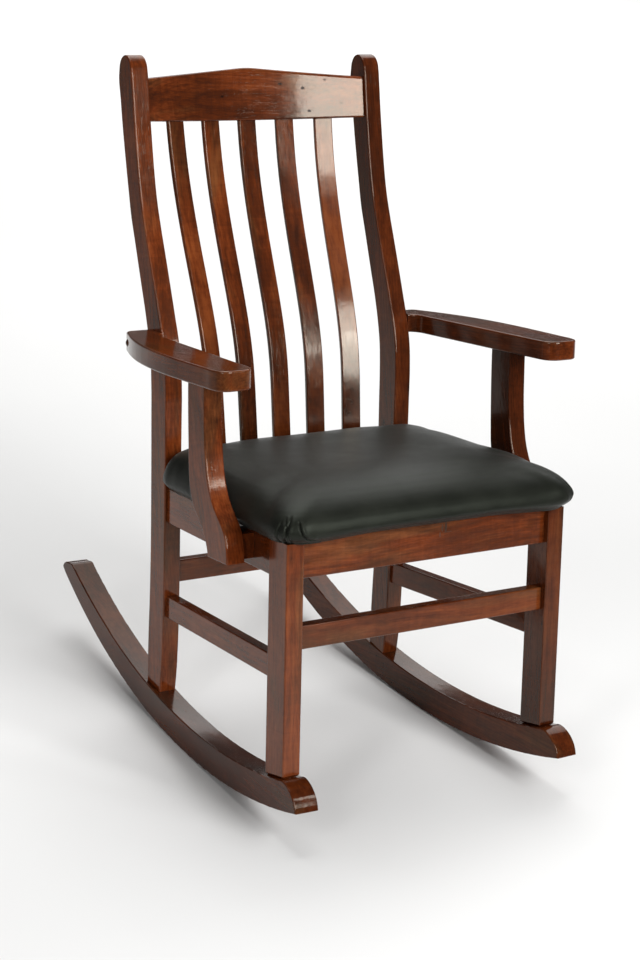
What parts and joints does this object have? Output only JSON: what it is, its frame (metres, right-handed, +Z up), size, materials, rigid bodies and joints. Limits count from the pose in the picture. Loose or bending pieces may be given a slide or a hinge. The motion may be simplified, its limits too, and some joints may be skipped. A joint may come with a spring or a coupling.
{
  "type": "rocking chair",
  "caption": "High-backed mission-style wooden rocking chair with bent back slats, bowed flat arms on swept posts, curved rockers and a padded leather seat.",
  "frame": {"origin": "on the floor, at the centre of the chair's outer box; the rockers touch the floor plane z = 0", "axes": "+Z up, -Y to the front of the chair, +X to the sitter's left; the chair stands at the backward lean at which it balances empty"},
  "size_m": [0.694, 0.8784, 1.0849],
  "materials": {
    "stained_hardwood": "gloss",
    "inner_hardwood": "matte",
    "leather": "satin",
    "foam": "matte",
    "plywood": "matte",
    "dust_cloth": "matte",
    "button": "satin",
    "steel": "satin"
  },
  "bodies": {
    "root": {"rocker_right": "stained_hardwood", "rocker_left": "stained_hardwood", "front_leg_right": "stained_hardwood", "front_leg_left": "stained_hardwood", "back_post_right": "stained_hardwood", "back_post_left": "stained_hardwood", "side_apron_right": "stained_hardwood", "side_apron_left": "stained_hardwood", "side_stretcher_right": "stained_hardwood", "side_stretcher_left": "stained_hardwood", "arm_right": "stained_hardwood", "arm_left": "stained_hardwood", "arm_post_right": "stained_hardwood", "arm_post_left": "stained_hardwood", "front_apron": "stained_hardwood", "rear_apron": "stained_hardwood", "front_stretcher": "stained_hardwood", "rear_stretcher": "stained_hardwood", "crest_rail": "stained_hardwood", "back_slat_1": "stained_hardwood", "back_slat_2": "stained_hardwood", "back_slat_3": "stained_hardwood", "back_slat_4": "stained_hardwood", "back_slat_5": "stained_hardwood", "arm_post_spacer_right": "stained_hardwood", "arm_post_spacer_left": "stained_hardwood", "corner_block_front_right": "inner_hardwood", "corner_block_front_left": "inner_hardwood", "corner_block_rear_right": "inner_hardwood", "corner_block_rear_left": "inner_hardwood", "rocker_dowels": "inner_hardwood", "arm_dowels": "inner_hardwood", "seat_cover": "leather", "seat_foam": "foam", "seat_board": "plywood", "dust_cover": "dust_cloth", "arm_buttons": "button", "arm_screws": "steel", "arm_post_screws": "steel", "corner_block_screws": "steel", "seat_screws": "steel", "leather_staples": "steel"}
  },
  "joints": []
}
